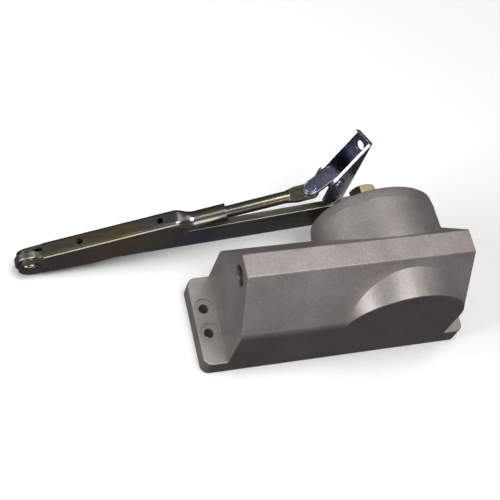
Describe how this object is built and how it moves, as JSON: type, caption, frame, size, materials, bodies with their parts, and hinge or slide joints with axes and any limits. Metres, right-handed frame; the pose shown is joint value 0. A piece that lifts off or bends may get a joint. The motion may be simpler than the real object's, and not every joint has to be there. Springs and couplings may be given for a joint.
{
  "type": "door closer",
  "caption": "Surface-mounted door closer: ridged cast body with a spring drum, and a folding two-part arm ending in a swivelling screw-on foot.",
  "frame": {"origin": "centre of the four body screw holes, on the back face of the mounting plate", "axes": "+X along the body towards the drum end, +Y along the spindle towards the arm, +Z out of the mounting plate"},
  "size_m": [0.3089, 0.1202, 0.1105],
  "materials": {
    "cast_body": "silver-bronze spray paint over an aluminium die casting",
    "machined_steel": "turned and ground steel",
    "arm_steel": "dark yellow-green passivated zinc",
    "bright_zinc": "bright bluish zinc plating",
    "spring_steel": "blued spring strip",
    "bronze": "sintered bronze",
    "seal_rubber": "black rubber"
  },
  "bodies": {
    "closer_body": {"housing": "cast_body", "spring_cover": "cast_body", "cylinder_cap": "machined_steel", "cap_seal": "seal_rubber", "valve_seal": "seal_rubber", "filler_plug": "machined_steel", "plug_seal": "seal_rubber", "near_bush": "bronze", "far_bush": "bronze", "shaft_seal": "seal_rubber", "gland_nut": "machined_steel", "spring_anchor": "machined_steel", "main_spring": "spring_steel"},
    "spindle_and_arm": {"spindle": "machined_steel", "spring_arbor": "machined_steel", "arbor_key": "machined_steel", "main_arm": "arm_steel", "arm_washer": "machined_steel", "arm_nut": "machined_steel"},
    "piston_and_rack": {"piston": "machined_steel", "piston_ring": "seal_rubber", "check_seat": "machined_steel"},
    "check_valve": {"check_ball": "machined_steel"},
    "speed_screw": {"speed_valve": "machined_steel"},
    "folding_arm": {"forearm": "arm_steel", "elbow_rivet": "arm_steel", "elbow_washers": "bright_zinc"},
    "rod": {"adjusting_rod": "arm_steel"},
    "swivel_link": {"link": "bright_zinc", "link_rivet": "bright_zinc"},
    "foot": {"foot_bracket": "bright_zinc", "foot_pin": "bright_zinc"}
  },
  "joints": [
    {"name": "spindle_turn", "type": "hinge", "parent": "closer_body", "child": "spindle_and_arm", "pos_m": [0.0375, 0, 0.0463], "axis": [0, 1, 0], "range_deg": [0, 150], "stiffness_Nm_per_rad": 4, "springref_deg": -20, "deforming": ["main_spring"]},
    {"name": "piston_slide", "type": "slide", "parent": "closer_body", "child": "piston_and_rack", "axis": [1, 0, 0], "range_m": [0, 0.0295]},
    {"name": "check_lift", "type": "slide", "parent": "piston_and_rack", "child": "check_valve", "axis": [1, 0, 0], "range_m": [0, 0.0015]},
    {"name": "speed_adjust", "type": "hinge", "parent": "closer_body", "child": "speed_screw", "pos_m": [-0.081, 0, 0.0833], "axis": [-1, 0, 0], "range_deg": [-180, 180]},
    {"name": "elbow", "type": "hinge", "parent": "spindle_and_arm", "child": "folding_arm", "pos_m": [-0.20145, 0.06075, 0.01272], "axis": [0, -1, 0], "range_deg": [0, 165]},
    {"name": "rod_slide", "type": "slide", "parent": "folding_arm", "child": "rod", "axis": [0.9483, 0, 0.3173], "range_m": [0, 0.02]},
    {"name": "link_swivel", "type": "hinge", "parent": "rod", "child": "swivel_link", "pos_m": [-0.01274, 0.06075, 0.07586], "axis": [-0.3173, 0, 0.9483], "range_deg": [-20, 16]},
    {"name": "foot_swing", "type": "hinge", "parent": "swivel_link", "child": "foot", "pos_m": [0.00332, 0.06807, 0.0797], "axis": [0.3857, -0.9135, 0.1291], "range_deg": [-4, 20]}
  ],
  "couplings": [
    {"joint": "piston_slide", "follows": "spindle_turn", "m_per_rad": 0.011}
  ]
}
